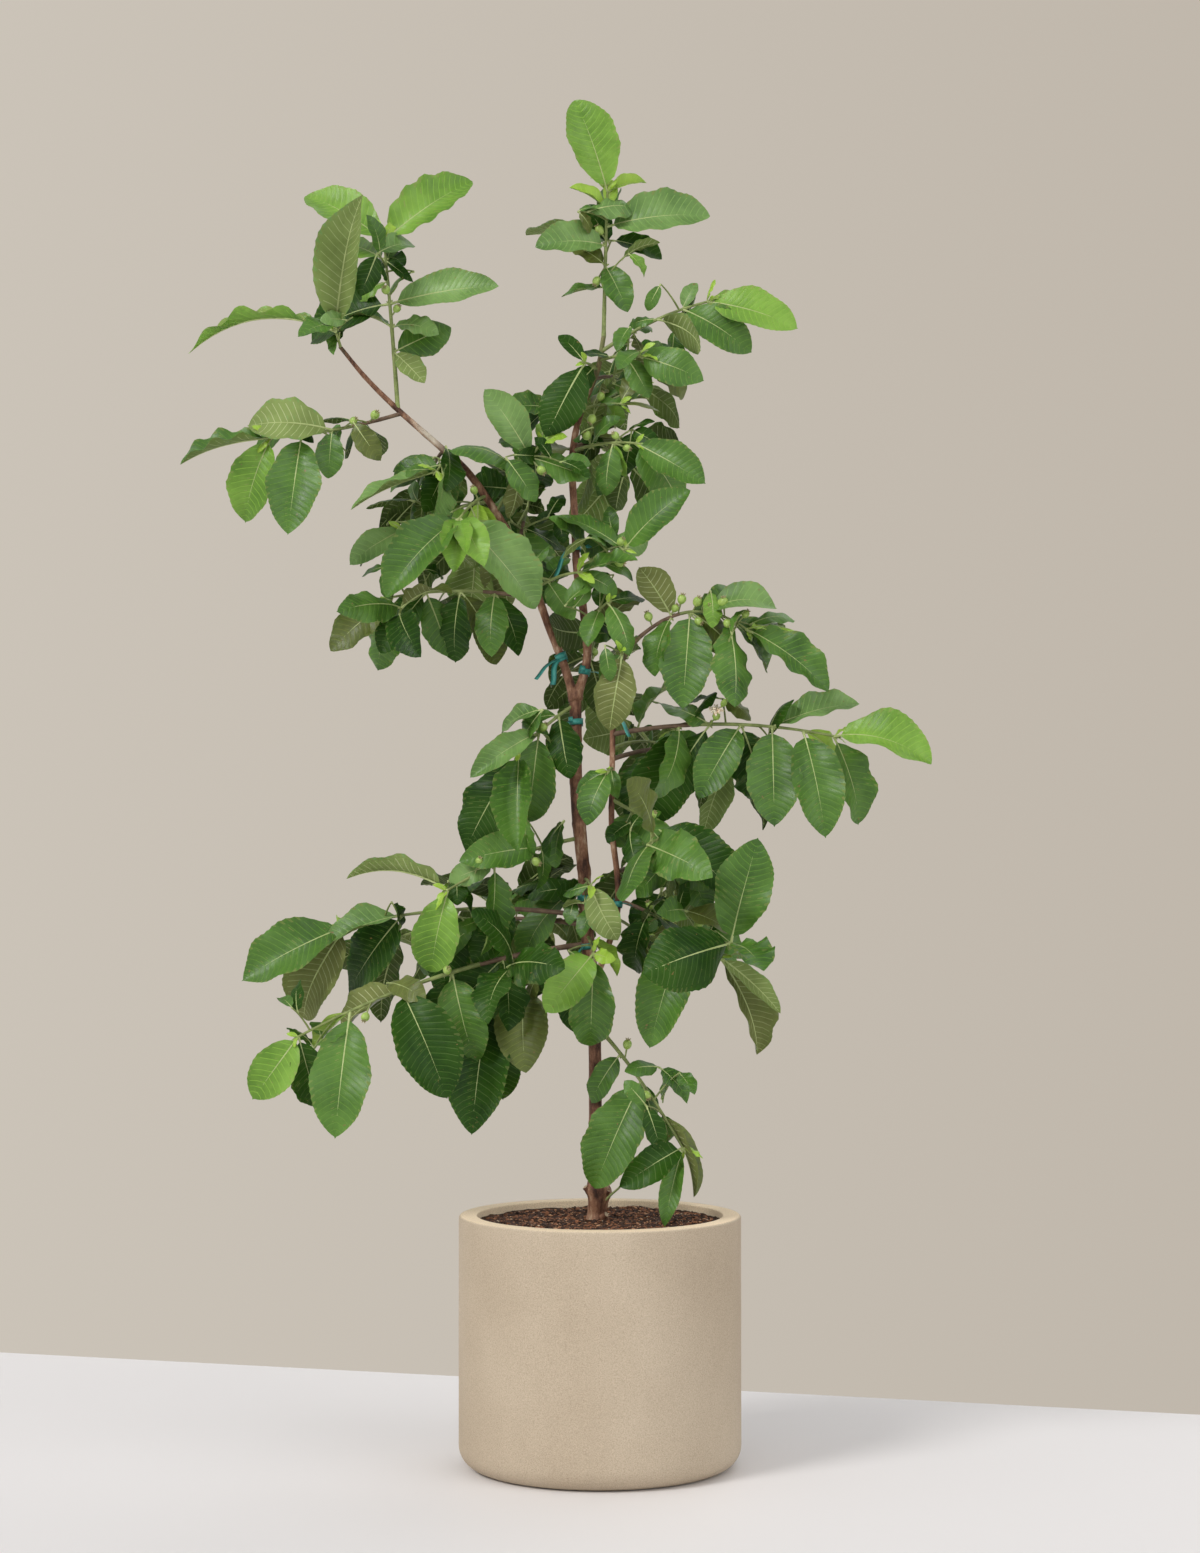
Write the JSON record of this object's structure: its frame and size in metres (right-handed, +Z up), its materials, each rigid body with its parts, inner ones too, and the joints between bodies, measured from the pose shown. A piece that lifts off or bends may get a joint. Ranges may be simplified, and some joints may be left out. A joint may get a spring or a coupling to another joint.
{
  "type": "potted guava tree",
  "caption": "Young guava tree with a forked slim trunk, leafy shoots and small green fruit, standing in a round sand-coloured pot.",
  "frame": {"origin": "middle of the pot's flat underside", "axes": "+Z up along the pot's axis, +X to the right and -Y to the front as the plant is seen, its tallest shoot a little right of the middle"},
  "size_m": [0.813, 0.4256, 1.4783],
  "materials": {
    "pot": "matte, sand-coloured stone look with a fine speckle",
    "soil": "rough dark bark and peat potting mix",
    "bark": "reddish brown mottled smooth bark",
    "young_bark": "pinkish brown young bark, green at the tips",
    "foliage": "leathery green leaves with pale sunken veins"
  },
  "bodies": {
    "root": {"pot": "pot", "soil": "soil", "trunk": "bark", "left_leader": "young_bark", "right_leader": "young_bark", "third_stem": "young_bark", "left_tip": "foliage", "left_high": "foliage", "left_mid": "foliage", "left_under": "foliage", "left_front": "foliage", "centre_top": "foliage", "crown_top": "foliage", "crown_right": "foliage", "crown_side": "foliage", "leader_right": "foliage", "leader_bud": "foliage", "leader_dark": "foliage", "leader_left": "foliage", "left_dark": "foliage", "left_lower": "foliage", "fork_front": "foliage", "leader_low": "foliage", "centre_right": "foliage", "right_mid": "foliage", "stem_front": "foliage", "right_far": "foliage", "third_left": "foliage", "right_dark": "foliage", "right_low": "foliage", "right_foot": "foliage", "third_olive": "foliage", "left_inner": "foliage", "left_low": "foliage", "trunk_left": "foliage", "trunk_front": "foliage", "left_deep": "foliage", "left_wing": "foliage", "left_foot": "foliage", "front_rosette": "foliage", "foot_shoot": "foliage", "centre_back": "foliage", "back_low_left": "foliage", "back_low_right": "foliage", "back_mid": "foliage", "back_left": "foliage", "back_right": "foliage", "back_high": "foliage", "back_far": "foliage", "back_wing": "foliage", "back_under": "foliage"}
  },
  "joints": []
}
